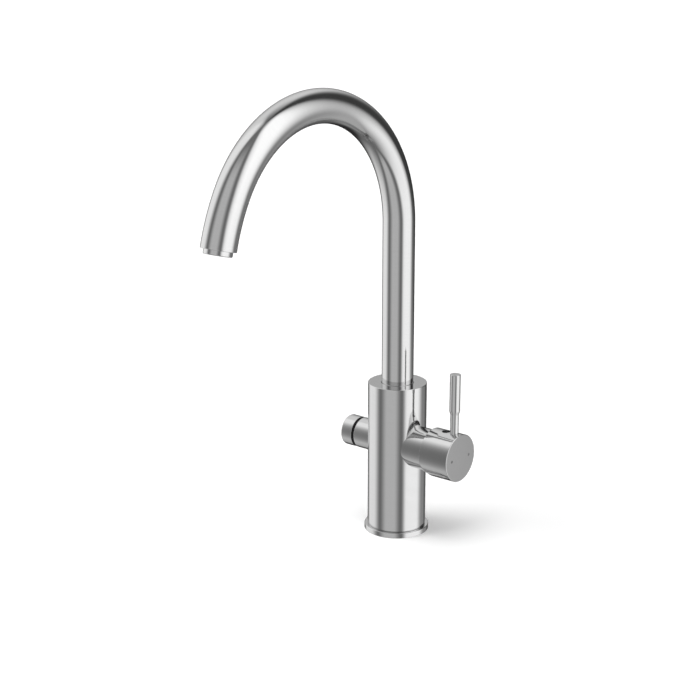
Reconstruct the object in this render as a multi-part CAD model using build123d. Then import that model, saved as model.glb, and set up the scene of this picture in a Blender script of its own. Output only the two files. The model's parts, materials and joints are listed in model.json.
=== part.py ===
from build123d import *
import os
from math import cos, degrees, radians, sin, tan

os.makedirs("parts", exist_ok=True)

# Kitchen mixer tap with a filtered-water outlet.
# Millimetres, +Z up. The origin is the centre of the base where it meets the worktop.
# The spout reaches towards -Y, the mixer handle is on +X and the filter knob on -X.

# Body and base
body_diameter = 50.0
body_top = 132.2
shell_wall = 2.5
shell_top_wall = 4.0
body_edge_chamfer = 0.7
ring_diameter = 55.4
ring_height = 4.5
ring_edge_chamfer = 0.5
gasket_diameter = 48.0
gasket_width = 3.0
gasket_height = 2.4

# Spout
tube_diameter = 27.0
tube_wall = 1.0
riser_top = 269.7
spout_reach = 213.9
main_bend_angle = 150.3
end_bend_radius = 157.0
end_bend_angle = 15.3
filter_tube_diameter = 8.0
filter_tube_wall = 1.0

# Spout foot and its seats in the body
foot_seat_height = 108.0
foot_collar_height = 9.0
foot_socket_length = 8.0
foot_bottom = 97.6
foot_lower_diameter = 24.0
foot_bore_diameter = 18.0
oring_section = 2.2
oring_squeeze = 0.5
lower_oring_height = 100.6
upper_oring_height = 104.8
lock_rise = 4.4
lock_screw_diameter = 5.0
lock_screw_recess = 1.2
lock_tip_diameter = 3.6
lock_tip_length = 2.6
lock_groove_depth = 2.5
swivel_each_way = 90.0
core_top = 120.0
slip_ring_height = 8.0
stem_bore_bottom = 84.5
stem_seal_height = 92.0

# Aerator at the end of the spout
aerator_diameter = 21.8
aerator_proud = 3.9
aerator_wall = 1.3
aerator_thread_length = 9.0
aerator_edge_chamfer = 0.4
nozzle_length = 13.0
nozzle_shoulder = 3.0
strainer_thickness = 2.0
strainer_wall = 1.0
strainer_recess = 0.9
strainer_hole_diameter = 0.9
strainer_first_ring = 5.8
strainer_ring_step = 1.25
strainer_rings = 3
strainer_first_count = 18
strainer_count_step = 5
filter_nozzle_diameter = 9.4

# Both side valves share one axis height
side_height = 78.4
wall_gap = 0.02
saddle_gap = 0.05

# Mixer side (+X)
mixer_stub_diameter = 35.6
mixer_stub_reach = 38.0
mixer_pocket_floor = 13.0
mixer_spigot_diameter = 32.0
cartridge_diameter = 25.8
cartridge_wall = 1.85
cartridge_top = 33.5
cartridge_lip = 1.2
cartridge_base_thickness = 2.6
port_seal_height = 0.6
disc_thickness = 3.0
moving_disc_diameter = 18.8
disc_rest_offset = -1.2
carrier_thickness = 3.9
carrier_rim = 0.2
stem_pivot_reach = 30.0
stem_arm = 5.6
stem_ball_diameter = 4.2
stem_neck_diameter = 3.0
stem_square = 7.0
stem_heel = 2.0
stem_reach = 60.0
stem_pin_diameter = 3.0
stem_pin_recess = 0.7
rotor_slot_play = 0.5
rotor_back = 26.6
rotor_shoulder = 32.1
rotor_front = 35.5
rotor_neck_diameter = 18.2
inlet_port_spread = 5.2
inlet_port_height = 3.0
outlet_port_height = -6.0
port_diameter = 4.0
port_seal_width = 1.2
disc_hollow_diameter = 11.0
disc_hollow_offset = -1.8
flow_tilt = 25.0
ball_play = 0.2
nut_outer_diameter = 31.1
nut_bore_diameter = 19.4
nut_recess = 1.0
nut_slot_width = 3.0
nut_slot_depth = 1.5
nut_slot_pairs = 3
dome_diameter = 35.8
dome_wall = 0.8
dome_opening_diameter = 24.0

# Handle cap and pin lever
cap_gap = 0.6
cap_diameter = 40.7
cap_wall = 2.3
cap_back_chamfer = 0.5
cap_face_reach = 66.5
cap_face_chamfer = 0.5
cap_relief_depth = 1.75
cap_relief_length = 6.8
cap_relief_rise = 2.5
cap_cavity_floor = 47.5
lever_reach = 59.8
lever_thin_diameter = 7.1
lever_thick_diameter = 9.0
lever_step_bottom = 115.6
lever_step_top = 118.6
lever_top = 150.4
lever_top_chamfer = 0.5
lever_seat_depth = 1.1
lever_thread_diameter = 6.0
lever_thread_length = 8.0
lever_thread_play = 0.5
cap_screw_diameter = 6.0
cap_screw_inset = 8.6
cap_screw_recess = 5.0
cap_screw_mouth_diameter = 6.8
cap_screw_mouth_depth = 4.0
index_dot_diameter = 2.4
index_dot_depth = 0.8
index_dot_spread = 12.0

# Filter side (-X), distances are measured outwards from the body's centre
filter_stub_diameter = 26.6
filter_stub_reach = 37.5
filter_pocket_floor = 14.0
filter_spigot_diameter = 23.2
filter_bore_diameter = 18.2
filter_mouth_reach = 31.0
filter_mouth_diameter = 20.6
filter_seal_diameter = 11.0
filter_seal_hole = 6.4
filter_seal_height = 1.6
filter_disc_diameter = 14.2
filter_disc_thickness = 2.6
filter_port_rim = 1.6
filter_port_web = 0.6
filter_window_width = 5.0
filter_skirt_diameter = 16.4
filter_skirt_end = 26.0
filter_hex_across = 17.0
filter_hex_end = 36.5
spindle_diameter = 6.0
spindle_flange_diameter = 13.6
spindle_flange_height = 2.6
spindle_square = 4.6
spindle_square_start = 39.0
spindle_end = 46.5
spindle_seal_reach = 28.0
spindle_seal_width = 1.6
spindle_groove_depth = 0.9
clip_thickness = 0.8
clip_diameter = 9.2
clip_mouth = 3.4
grip_ring_width = 2.6
grip_ring_diameter = 25.8
grip_ring_neck_diameter = 22.8
grip_ring_edge = 0.5
knob_gap = 0.2
knob_end_reach = 51.9
knob_edge_radius = 1.3
knob_wall = 1.5
knob_cavity_depth = 3.2
knob_hub_diameter = 11.0
knob_hub_recess = 0.4
knob_square_recess = 0.6
knob_screw_diameter = 4.0
knob_screw_reach = 44.6
knob_screw_recess = 0.6

# Water ways and inlet sockets in the core
core_bottom = 26.0
inlet_circle_radius = 7.6
inlet_angle = 60.0
inlet_thread_diameter = 10.0
inlet_socket_diameter = 13.0
inlet_mouth_height = 14.0
inlet_thread_length = 11.5
inlet_socket_top = 32.0
water_way_diameter = 6.0
filter_way_diameter = 5.0
filter_outlet_way_diameter = 3.2
filter_outlet_way_height = 7.3
mixed_way_reach = 8.0
mixed_way_diameter = 4.4

# Fixing under the worktop
shank_diameter = 33.0
shank_bore_diameter = 27.0
shank_length = 55.0
shank_flange_height = 5.5
shank_end_chamfer = 0.8
worktop_thickness = 30.0
clamp_washer_diameter = 60.0
rubber_washer_thickness = 3.0
steel_washer_thickness = 2.0
washer_clearance = 0.4
shank_nut_across = 46.0
shank_nut_height = 9.0

# Fits
running_gap = 0.06
face_gap = 0.02
seat_gap = 0.1

# How far a cut runs on past the face it opens
overcut = 1.0

body_radius = body_diameter / 2
shell_inner_radius = body_radius - shell_wall
core_radius = shell_inner_radius - wall_gap
tube_radius = tube_diameter / 2
tube_bottom = foot_seat_height + foot_collar_height
lock_height = foot_seat_height + lock_rise
side_axis = Pos(0, 0, side_height)
filter_side = Pos(0, 0, side_height) * Rot(0, 0, 180)


def bar(start, end, diameter):
    """A round bar between two points."""
    run = Vector(*end) - Vector(*start)
    place = Plane(origin=start, z_dir=run)
    return place * Cylinder(diameter / 2, run.length, align=(Align.CENTER, Align.CENTER, Align.MIN))


def upright(bottom, top, diameter, x=0.0, y=0.0):
    """A vertical round bar."""
    return bar((x, y, bottom), (x, y, top), diameter)


def across(start, end, diameter, y=0.0, z=0.0):
    """A round bar along the X axis."""
    return bar((start, y, z), (end, y, z), diameter)


def upright_tube(bottom, top, outer, inner):
    return upright(bottom, top, outer) - upright(bottom - overcut, top + overcut, inner)


def across_tube(start, end, outer, inner):
    return across(start, end, outer) - across(start - overcut, end + overcut, inner)


def turned(points):
    """A piece turned about the X axis from (reach, radius) points."""
    outline = Polyline([(reach, 0, radius) for reach, radius in points], close=True)
    return revolve(make_face(outline), Axis.X)


def turned_upright(points):
    """A piece turned about the Z axis from (radius, height) points."""
    outline = Polyline([(radius, 0, height) for radius, height in points], close=True)
    return revolve(make_face(outline), Axis.Z)


def around_x(reach, width, outer, inner, height=0.0, y=0.0):
    """A plain ring about an axis parallel to X."""
    ring = across_tube(reach, reach + width, outer, inner)
    return Pos(0, y, height) * ring


def square_bar(start, end, side):
    return Pos((start + end) / 2, 0, 0) * Box(end - start, side, side)


def key_socket(mouth, inward, screw_diameter):
    """The hexagon socket in the end of a grub screw."""
    hexagon = Plane(origin=mouth, z_dir=inward) * RegularPolygon(screw_diameter / 4, 6)
    return extrude(hexagon, screw_diameter / 2)


def keep(name, piece):
    export_step(piece, f"parts/{name}.step")
    return piece


# Places on the spout's centre line
main_turn = radians(main_bend_angle)
end_turn = radians(main_bend_angle + end_bend_angle)
end_bend_reach = end_bend_radius * (cos(main_turn) - cos(end_turn))
main_bend_radius = (spout_reach - end_bend_reach) / (1 - cos(main_turn))


def main_bend_point(turn):
    reach = main_bend_radius * (1 - cos(turn))
    return (0, -reach, riser_top + main_bend_radius * sin(turn))


def end_bend_point(turn):
    start = main_bend_point(main_turn)
    reach = end_bend_radius * (cos(main_turn) - cos(turn))
    rise = end_bend_radius * (sin(turn) - sin(main_turn))
    return (0, start[1] - reach, start[2] + rise)


spout_end = end_bend_point(end_turn)
spout_end_plane = Plane(origin=spout_end, x_dir=(1, 0, 0), z_dir=(0, -sin(end_turn), cos(end_turn)))


def spout_path(bottom):
    riser = Line((0, 0, bottom), (0, 0, riser_top))
    top = main_bend_point(main_turn / 2)
    main_bend = ThreePointArc(main_bend_point(0), top, main_bend_point(main_turn))
    middle = end_bend_point((main_turn + end_turn) / 2)
    end_bend = ThreePointArc(main_bend_point(main_turn), middle, spout_end)
    return Wire([riser, main_bend, end_bend])


def bent_bar(bottom, diameter):
    section = Plane(origin=(0, 0, bottom), z_dir=(0, 0, 1)) * Circle(diameter / 2)
    return sweep(section, path=spout_path(bottom))


# Where the three inlets stand: hot and cold towards the handle, filtered water behind them
inlet_x = inlet_circle_radius * cos(radians(inlet_angle))
inlet_y = inlet_circle_radius * sin(radians(inlet_angle))
hot_place = (inlet_x, -inlet_y)
cold_place = (inlet_x, inlet_y)
filter_place = (-inlet_circle_radius, 0)


# Base and fixing
def base_ring():
    ring = upright_tube(0, ring_height, ring_diameter, shank_diameter + washer_clearance)
    rim = ring.edges().filter_by(GeomType.CIRCLE).sort_by(SortBy.RADIUS)[-2:].sort_by(Axis.Z)[-1]
    ring = chamfer(rim, ring_edge_chamfer)
    groove_outer = gasket_diameter + gasket_width
    groove_inner = gasket_diameter - gasket_width
    return ring - upright_tube(-overcut, gasket_height, groove_outer, groove_inner)


def base_gasket():
    outer = gasket_diameter + gasket_width - 2 * wall_gap
    inner = gasket_diameter - gasket_width + 2 * wall_gap
    return upright_tube(0, gasket_height - face_gap, outer, inner)


def mounting_shank():
    tube = upright(-shank_length, ring_height + overcut, shank_diameter)
    flange = upright(ring_height, ring_height + shank_flange_height, 2 * core_radius)
    shank = tube + flange - upright(-shank_length - overcut, body_top, shank_bore_diameter)
    ends = shank.edges().filter_by(GeomType.CIRCLE).sort_by(Axis.Z)[:2]
    return chamfer(ends, shank_end_chamfer)


def deck_washer(top, thickness):
    return upright_tube(top - thickness, top, clamp_washer_diameter, shank_diameter + washer_clearance)


def shank_nut(top):
    across_flats = RegularPolygon(shank_nut_across / 2, 6, major_radius=False)
    nut = extrude(Pos(0, 0, top - shank_nut_height) * across_flats, shank_nut_height)
    return nut - upright(top - shank_nut_height - overcut, top + overcut, shank_diameter + 2 * wall_gap)


# Body
def body_shell():
    shell = upright(ring_height, body_top, body_diameter)
    rim = shell.edges().filter_by(GeomType.CIRCLE).sort_by(Axis.Z)[-1]
    shell = chamfer(rim, body_edge_chamfer)
    shell -= upright(ring_height - overcut, body_top - shell_top_wall, 2 * shell_inner_radius)
    shell -= upright(ring_height, body_top + overcut, tube_diameter + 2 * running_gap)
    shell -= side_axis * across(0, body_diameter, mixer_spigot_diameter + 2 * wall_gap)
    shell -= filter_side * across(0, body_diameter, filter_spigot_diameter + 2 * wall_gap)
    return shell - lock_screw_hole()


def lock_screw_hole():
    start = tube_radius - lock_groove_depth
    return bar((0, start, lock_height), (0, body_diameter, lock_height), lock_screw_diameter + 2 * wall_gap)


def water_ways():
    """Drilled ways for hot, cold, mixed and filtered water."""
    mixer_mouth = mixer_pocket_floor + overcut
    filter_mouth = -filter_pocket_floor - overcut
    inlet_level = side_height + inlet_port_height
    mixed_level = side_height + outlet_port_height
    clean_level = side_height + filter_outlet_way_height
    ways = []
    socket_end = inlet_socket_top - overcut
    for side in (-1, 1):
        ways.append(upright(socket_end, inlet_level, water_way_diameter, inlet_x, side * inlet_y))
        ways.append(across(inlet_x, mixer_mouth, port_diameter, side * inlet_port_spread, inlet_level))
    ways.append(upright(mixed_level, foot_bottom, mixed_way_diameter, mixed_way_reach))
    ways.append(across(mixed_way_reach, mixer_mouth, port_diameter, 0, mixed_level))
    ways.append(upright(socket_end, side_height, water_way_diameter, *filter_place))
    ways.append(across(filter_mouth, -inlet_circle_radius, filter_way_diameter, 0, side_height))
    ways.append(across(filter_mouth, 0, filter_outlet_way_diameter, 0, clean_level))
    return ways


def valve_core():
    core = upright(core_bottom, core_top, 2 * core_radius)
    core -= upright(foot_seat_height, core_top + overcut, tube_diameter + 2 * running_gap)
    core -= upright(foot_bottom - seat_gap, core_top, foot_lower_diameter + 2 * running_gap)
    core -= upright(stem_bore_bottom, core_top, filter_tube_diameter + 2 * running_gap)
    core -= Pos(0, 0, stem_seal_height) * stem_seal_room()
    core -= side_axis * across(mixer_pocket_floor, body_diameter, mixer_spigot_diameter)
    core -= filter_side * across(filter_pocket_floor, body_diameter, filter_spigot_diameter)
    for x, y in (hot_place, cold_place, filter_place):
        core -= upright(core_bottom - overcut, inlet_socket_top, inlet_socket_diameter + 2 * wall_gap, x, y)
    return core - water_ways() - lock_screw_hole()


def inlet_socket(x, y):
    """A threaded socket for a flexible hose."""
    thread_end = inlet_mouth_height + inlet_thread_length
    socket = upright(inlet_mouth_height, inlet_socket_top - face_gap, inlet_socket_diameter, x, y)
    socket -= upright(inlet_mouth_height - overcut, thread_end, inlet_thread_diameter, x, y)
    return socket - upright(inlet_mouth_height, inlet_socket_top + overcut, water_way_diameter, x, y)


def slip_ring():
    inner = tube_diameter + 2 * running_gap
    return upright_tube(core_top, core_top + slip_ring_height, 2 * core_radius - 2 * wall_gap, inner)


def stem_seal_room():
    outer = filter_tube_diameter + 2 * oring_section
    return upright_tube(0, oring_section, outer, filter_tube_diameter)


def filter_stem_seal():
    outer = filter_tube_diameter + 2 * oring_section - 2 * wall_gap
    ring = upright_tube(0, oring_section - 2 * face_gap, outer, filter_tube_diameter + 2 * running_gap)
    return Pos(0, 0, stem_seal_height + face_gap) * ring


def spout_lock_screw():
    tip_reach = tube_radius - lock_groove_depth + seat_gap
    shoulder = tip_reach + lock_tip_length
    end = (0, body_radius - lock_screw_recess, lock_height)
    screw = bar((0, shoulder, lock_height), end, lock_screw_diameter)
    screw += bar((0, tip_reach, lock_height), (0, shoulder, lock_height), lock_tip_diameter)
    return screw - key_socket(end, (0, -1, 0), lock_screw_diameter)


# Spout
def spout_tube():
    return bent_bar(tube_bottom, tube_diameter) - bent_bar(tube_bottom, tube_diameter - 2 * tube_wall)


def spout_foot():
    socket = tube_diameter - 2 * tube_wall - 2 * wall_gap
    foot = upright(foot_seat_height + seat_gap, tube_bottom, tube_diameter)
    foot += upright(tube_bottom, tube_bottom + foot_socket_length, socket)
    foot += upright(foot_bottom, foot_seat_height + seat_gap, foot_lower_diameter)
    foot -= upright(foot_bottom - overcut, tube_bottom + foot_socket_length + overcut, foot_bore_diameter)
    for height in (lower_oring_height, upper_oring_height):
        foot -= Pos(0, 0, height) * oring_room()
    return foot - lock_groove()


def oring_room():
    depth = oring_section - oring_squeeze
    return upright_tube(0, oring_section, foot_lower_diameter + overcut, foot_lower_diameter - 2 * depth)


def spout_orings():
    depth = oring_section - oring_squeeze
    inner = foot_lower_diameter - 2 * depth + 2 * wall_gap
    ring = upright_tube(face_gap, oring_section - face_gap, foot_lower_diameter + running_gap, inner)
    heights = (lower_oring_height, upper_oring_height)
    return Compound(children=[Pos(0, 0, height) * ring for height in heights])


def lock_groove():
    """The part-round groove whose ends stop the swivel on the lock screw's tip."""
    bottom_radius = tube_radius - lock_groove_depth
    width = lock_tip_diameter + 2 * seat_gap
    ring = upright_tube(0, width, tube_diameter + overcut, 2 * bottom_radius)
    tip_angle = width / (tube_radius - lock_groove_depth / 2)
    sweep_angle = 2 * swivel_each_way + degrees(tip_angle)
    wedge = Cylinder(tube_diameter, 2 * width, arc_size=sweep_angle)
    groove = ring & (Rot(0, 0, 90 - sweep_angle / 2) * wedge)
    return Pos(0, 0, lock_height - width / 2) * groove


def filter_tube():
    bottom = stem_bore_bottom + seat_gap
    bore = filter_tube_diameter - 2 * filter_tube_wall
    return bent_bar(bottom, filter_tube_diameter) - bent_bar(bottom, bore)


def nozzle_insert():
    """The threaded insert follows the bend of the tube's end."""
    room = upright(-nozzle_length, 0, 2 * tube_diameter)
    room -= upright(-nozzle_length + nozzle_shoulder, 1, aerator_diameter + 2 * wall_gap)
    room -= upright(-nozzle_length - overcut, 1, aerator_diameter - 2 * aerator_wall)
    return bent_bar(tube_bottom, tube_diameter - 2 * tube_wall - 2 * wall_gap) & (spout_end_plane * room)


# Aerator pieces are made on +Z from the tube's end plane
def aerator_housing():
    housing = upright(-aerator_thread_length, aerator_proud, aerator_diameter)
    rim = housing.edges().filter_by(GeomType.CIRCLE).sort_by(Axis.Z)[-1]
    housing = chamfer(rim, aerator_edge_chamfer)
    return housing - upright(-nozzle_length, aerator_proud + overcut, aerator_diameter - 2 * aerator_wall)


def aerator_washer():
    low = -nozzle_length + nozzle_shoulder + face_gap
    outer = aerator_diameter - wall_gap
    return upright_tube(low, -aerator_thread_length - face_gap, outer, aerator_diameter - 2 * aerator_wall)


def strainer_holes():
    holes = []
    for ring in range(strainer_rings):
        count = strainer_first_count + ring * strainer_count_step
        radius = strainer_first_ring + ring * strainer_ring_step
        for place in PolarLocations(radius, count):
            holes.append(place * Cylinder(strainer_hole_diameter / 2, 4 * strainer_thickness))
    return holes


def aerator_strainer():
    top = aerator_proud - strainer_recess
    outer = aerator_diameter - 2 * aerator_wall - 2 * wall_gap
    plate = Pos(0, 0, top - strainer_thickness / 2) * Cylinder(outer / 2, strainer_thickness)
    plate -= [Pos(0, 0, top) * hole for hole in strainer_holes()]
    plate += upright_tube(-aerator_thread_length, top, outer, outer - 2 * strainer_wall)
    plate += upright(-aerator_thread_length / 2, top, filter_nozzle_diameter)
    plate -= upright(-aerator_thread_length, 0, filter_tube_diameter + 2 * seat_gap)
    return plate - upright(-1, aerator_proud + overcut, filter_tube_diameter - 2 * filter_tube_wall)


# Mixer side
def mixer_housing():
    stub = across(body_radius / 2, mixer_stub_reach, mixer_stub_diameter)
    stub -= Pos(0, 0, -side_height) * upright(0, body_top, body_diameter + 2 * saddle_gap)
    spigot = across(mixer_pocket_floor, body_radius + overcut, mixer_spigot_diameter - 2 * wall_gap)
    housing = stub + spigot
    housing -= across(0, mixer_stub_reach, cartridge_diameter + 2 * wall_gap)
    return housing - across(cartridge_top, mixer_stub_reach + overcut, nut_outer_diameter + 2 * wall_gap)


cartridge_base_back = mixer_pocket_floor + port_seal_height
fixed_disc_back = cartridge_base_back + cartridge_base_thickness + face_gap
moving_disc_back = fixed_disc_back + disc_thickness + face_gap
carrier_back = moving_disc_back + disc_thickness
chamber_diameter = cartridge_diameter - 2 * cartridge_wall
port_places = (
    (-inlet_port_spread, inlet_port_height),
    (inlet_port_spread, inlet_port_height),
    (0, outlet_port_height),
)


def port_bars(start, end, diameter):
    return [across(start, end, diameter, y, z) for y, z in port_places]


def cartridge_base():
    back = cartridge_base_back
    base = across(back, back + cartridge_base_thickness, cartridge_diameter)
    base -= port_bars(0, mixer_stub_reach, port_diameter)
    return base - port_bars(0, back + port_seal_height, port_diameter + 2 * port_seal_width)


def cartridge_seals():
    outer = port_diameter + 2 * port_seal_width - 2 * wall_gap
    end = cartridge_base_back + port_seal_height - face_gap
    start = mixer_pocket_floor + face_gap
    rings = [around_x(start, end - start, outer, port_diameter, z, y) for y, z in port_places]
    return Compound(children=rings)


def cartridge_shell():
    back = cartridge_base_back + cartridge_base_thickness
    shell = across(back, cartridge_top, cartridge_diameter)
    shell -= across(back - overcut, cartridge_top - cartridge_lip, chamber_diameter)
    return shell - across(back, cartridge_top + overcut, rotor_neck_diameter + 2 * running_gap)


def mixer_fixed_disc():
    disc = across(fixed_disc_back, fixed_disc_back + disc_thickness, chamber_diameter - 2 * wall_gap)
    return disc - port_bars(0, mixer_stub_reach, port_diameter)


def mixer_moving_disc():
    disc = across(moving_disc_back, carrier_back, moving_disc_diameter, 0, disc_rest_offset)
    hollow_centre = disc_rest_offset + disc_hollow_offset
    return disc - across(0, moving_disc_back + disc_thickness / 2, disc_hollow_diameter, 0, hollow_centre)


def disc_carrier():
    diameter = moving_disc_diameter - 2 * carrier_rim
    carrier = across(carrier_back, carrier_back + carrier_thickness, diameter, 0, disc_rest_offset)
    return carrier - across(0, mixer_stub_reach, stem_ball_diameter + 2 * ball_play)


def cartridge_rotor():
    rotor = across(rotor_back, rotor_shoulder, chamber_diameter - 2 * running_gap)
    rotor += across(rotor_back, rotor_front, rotor_neck_diameter)
    tilt = radians(flow_tilt)
    front = rotor_front - stem_pivot_reach
    slot_low = stem_square / 2 / cos(tilt) + front * tan(tilt) + rotor_slot_play
    slot_high = stem_square / 2 * cos(tilt) + stem_heel * sin(tilt) + rotor_slot_play
    slot = Box(body_diameter, stem_square + 2 * seat_gap, slot_low + slot_high)
    rotor -= Pos(stem_pivot_reach, 0, (slot_high - slot_low) / 2) * slot
    return rotor - stem_pin_bar(chamber_diameter + overcut, stem_pin_diameter + 2 * wall_gap)


def stem_pin_bar(length, diameter):
    return bar((stem_pivot_reach, -length / 2, 0), (stem_pivot_reach, length / 2, 0), diameter)


def stem_pin():
    return stem_pin_bar(chamber_diameter - 2 * stem_pin_recess, stem_pin_diameter)


def cartridge_stem():
    ball_reach = stem_pivot_reach - stem_arm
    stem = square_bar(stem_pivot_reach - stem_heel, stem_reach, stem_square)
    stem += across(ball_reach, stem_pivot_reach, stem_neck_diameter)
    stem += Pos(ball_reach, 0, 0) * Sphere(stem_ball_diameter / 2)
    return stem - stem_pin_bar(body_diameter, stem_pin_diameter + 2 * running_gap)


def cartridge_nut():
    front = mixer_stub_reach - nut_recess
    nut = across_tube(cartridge_top + face_gap, front, nut_outer_diameter, nut_bore_diameter)
    slot = Box(2 * nut_slot_depth, cap_diameter, nut_slot_width)
    for pair in range(nut_slot_pairs):
        nut -= Pos(front, 0, 0) * Rot(180 * pair / nut_slot_pairs, 0, 0) * slot
    return nut


def dome_ring():
    start = mixer_stub_reach + face_gap
    shell = Circle(dome_diameter / 2) - Circle(dome_diameter / 2 - dome_wall)
    low = dome_opening_diameter / 2
    corner = Pos(start + dome_diameter / 2, low + dome_diameter / 2)
    room = corner * Rectangle(dome_diameter, dome_diameter)
    section = (Pos(stem_pivot_reach, 0) * shell) & room
    return revolve(Plane.XZ * section, Axis.X)


# Handle
cap_back = mixer_stub_reach + cap_gap
cap_screw_reach = stem_reach - cap_screw_inset


def cap_relief():
    """The cone that thins the cap's lower back. Its axis lies above the cap's, so the top stays full."""
    slope = cap_relief_depth / cap_relief_length
    back_radius = cap_diameter / 2 - cap_relief_depth + cap_relief_rise
    start = cap_back - overcut
    end = cap_face_reach + overcut
    cone = turned([
        (start, 0),
        (start, back_radius - slope * overcut),
        (end, back_radius + slope * (end - cap_back)),
        (end, 0),
    ])
    return Pos(0, 0, cap_relief_rise) * cone


def handle_cap():
    cap = turned([
        (cap_back, cap_diameter / 2 - cap_wall),
        (cap_back, cap_diameter / 2 - cap_back_chamfer),
        (cap_back + cap_back_chamfer, cap_diameter / 2),
        (cap_face_reach - cap_face_chamfer, cap_diameter / 2),
        (cap_face_reach, cap_diameter / 2 - cap_face_chamfer),
        (cap_face_reach, 0),
        (cap_cavity_floor, 0),
        (cap_cavity_floor, cap_diameter / 2 - cap_wall),
    ])
    cap &= cap_relief()
    cap -= square_bar(cap_cavity_floor - overcut, stem_reach + seat_gap, stem_square + 2 * wall_gap)
    cap -= lever_seat()
    screw_hole = cap_screw_diameter + 2 * wall_gap
    cap -= bar((cap_screw_reach, 0, 0), (cap_screw_reach, 0, cap_diameter), screw_hole)
    mouth = cap_diameter / 2 - cap_screw_mouth_depth
    cap -= bar((cap_screw_reach, 0, mouth), (cap_screw_reach, 0, cap_diameter), cap_screw_mouth_diameter)
    for y in (-index_dot_spread, index_dot_spread):
        cap -= across(cap_face_reach - index_dot_depth, cap_face_reach + overcut, index_dot_diameter, y)
    return cap


lever_seat_height = side_height + cap_diameter / 2 - lever_seat_depth
lever_thread_bottom = lever_seat_height - lever_thread_length


def lever_seat():
    seat = upright(lever_seat_height, lever_top, lever_thin_diameter + 2 * wall_gap, lever_reach)
    bottom = lever_thread_bottom - lever_thread_play
    thread = upright(bottom, lever_top, lever_thread_diameter + 2 * wall_gap, lever_reach)
    return Pos(0, 0, -side_height) * (seat + thread)


def lever_pin():
    lever = turned_upright([
        (0, lever_thread_bottom),
        (lever_thread_diameter / 2, lever_thread_bottom),
        (lever_thread_diameter / 2, lever_seat_height),
        (lever_thin_diameter / 2, lever_seat_height),
        (lever_thin_diameter / 2, lever_step_bottom),
        (lever_thick_diameter / 2, lever_step_top),
        (lever_thick_diameter / 2, lever_top - lever_top_chamfer),
        (lever_thick_diameter / 2 - lever_top_chamfer, lever_top),
        (0, lever_top),
    ])
    return Pos(lever_reach, 0, 0) * lever


def grub_screw(reach, diameter, outer_radius, inner_radius):
    """A radial screw under a side piece, with a hexagon socket."""
    screw = bar((reach, 0, -outer_radius), (reach, 0, -inner_radius), diameter)
    return screw - key_socket((reach, 0, -outer_radius), (0, 0, 1), diameter)


def cap_screw():
    """The cap's screw stands in the top, beside the lever."""
    outer = cap_diameter / 2 - cap_screw_recess
    inner = stem_square / 2 + face_gap
    return Rot(180, 0, 0) * grub_screw(cap_screw_reach, cap_screw_diameter, outer, inner)


def index_dot(y):
    diameter = index_dot_diameter - 2 * wall_gap
    return across(cap_face_reach - index_dot_depth + face_gap, cap_face_reach, diameter, y)


# Filter side, made on +X and turned round to -X
filter_disc_back = filter_pocket_floor + filter_seal_height
filter_moving_back = filter_disc_back + filter_disc_thickness + face_gap
spindle_back = filter_moving_back + filter_disc_thickness
spindle_flange_front = spindle_back + spindle_flange_height
grip_ring_end = filter_stub_reach + grip_ring_width
knob_back = grip_ring_end + knob_gap


def filter_housing():
    stub = across(body_radius / 2, filter_stub_reach, filter_stub_diameter)
    stub -= Pos(0, 0, -side_height) * upright(0, body_top, body_diameter + 2 * saddle_gap)
    housing = stub + across(filter_pocket_floor, body_radius, filter_spigot_diameter - 2 * wall_gap)
    housing += across(filter_stub_reach - overcut, grip_ring_end, grip_ring_neck_diameter)
    housing -= across(0, body_diameter, filter_bore_diameter)
    return housing - across(filter_mouth_reach, body_diameter, filter_mouth_diameter)


def filter_seal():
    height = filter_seal_height - 2 * face_gap
    return around_x(filter_pocket_floor + face_gap, height, filter_seal_diameter, filter_seal_hole)


def quarter_ports(start, end):
    """Two facing openings, each a quarter of the disc."""
    reach = filter_disc_diameter / 2 - filter_port_rim
    centre = reach / 2 + filter_port_web
    room = across(start, end, 2 * reach)
    quarter = Box(2 * body_diameter, reach, reach)
    return (room & (Pos(0, centre, centre) * quarter)) + (room & (Pos(0, -centre, -centre) * quarter))


def filter_fixed_disc():
    disc = across(filter_disc_back, filter_disc_back + filter_disc_thickness, filter_disc_diameter)
    return disc - quarter_ports(0, body_diameter)


def filter_moving_disc():
    front = filter_moving_back + filter_disc_thickness
    disc = across(filter_moving_back, front, filter_disc_diameter - 2 * seat_gap)
    return disc - Rot(90, 0, 0) * quarter_ports(0, body_diameter)


def filter_valve_body():
    skirt_start = filter_pocket_floor + filter_seal_height + seat_gap
    body = across(skirt_start, filter_skirt_end, filter_skirt_diameter)
    body += across(filter_skirt_end, filter_mouth_reach, filter_bore_diameter - 2 * wall_gap)
    hexagon = Plane(origin=(filter_mouth_reach, 0, 0), z_dir=(1, 0, 0))
    hexagon *= RegularPolygon(filter_hex_across / 2, 6, major_radius=False)
    body += extrude(hexagon, filter_hex_end - filter_mouth_reach)
    chamber_end = spindle_flange_front + seat_gap
    body -= across(0, chamber_end, filter_disc_diameter + 2 * wall_gap)
    body -= across(0, body_diameter, spindle_diameter + 2 * running_gap)
    window = Box(filter_disc_thickness, 2 * filter_skirt_diameter, filter_window_width)
    for turn in (45, 135):
        body -= Pos(filter_moving_back + filter_disc_thickness / 2, 0, 0) * Rot(turn, 0, 0) * window
    return body


def filter_spindle():
    spindle = across(spindle_back, spindle_flange_front, spindle_flange_diameter)
    spindle += across(spindle_back, spindle_square_start, spindle_diameter)
    square = square_bar(spindle_square_start, spindle_end, spindle_square)
    spindle += square & across(0, spindle_end, spindle_diameter)
    outer = spindle_diameter + overcut
    seal_groove = spindle_seal_width + 2 * face_gap
    spindle -= around_x(spindle_seal_reach - face_gap, seal_groove, outer, groove_floor())
    return spindle - around_x(filter_hex_end + seat_gap, clip_thickness + 2 * face_gap, outer, groove_floor())


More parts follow.
